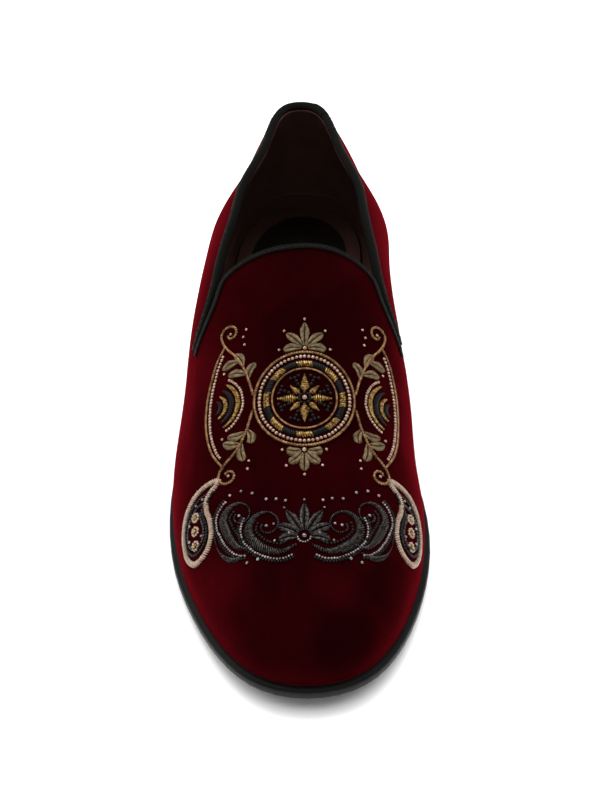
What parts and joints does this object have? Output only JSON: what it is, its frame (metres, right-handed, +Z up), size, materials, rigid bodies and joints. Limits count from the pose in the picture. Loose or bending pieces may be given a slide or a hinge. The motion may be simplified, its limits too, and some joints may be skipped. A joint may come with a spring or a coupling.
{
  "type": "loafer shoe",
  "caption": "Low velvet slipper of the loafer family for the right foot: high rounded vamp, side slits, bound top edge, thin leather sole and low heel.",
  "frame": {"origin": "on the floor under the middle of the sole's box, with the heel and the forefoot standing on the floor", "axes": "+Z up, toe towards -Y, heel towards +Y, the little-toe side towards -X and the big-toe side towards +X"},
  "size_m": [0.105, 0.296, 0.0902],
  "materials": {
    "velvet": "deep red cut-pile velvet, dark face on and lighter at a grazing angle, with metal-thread embroidery",
    "binding": "black ribbed ribbon, matt",
    "lining": "dark burgundy-brown lining leather, satin",
    "pad_leather": "black leather, satin",
    "sole_leather": "black edge-dressed sole leather, semi-gloss edge",
    "heel_rubber": "black moulded rubber, matt"
  },
  "bodies": {
    "root": {"outsole": "sole_leather", "heel_stack": "sole_leather", "heel_top_piece": "heel_rubber", "upper": "velvet", "quarter_binding": "binding", "vamp_binding": "binding", "insole": "lining", "heel_pad": "pad_leather"}
  },
  "joints": []
}
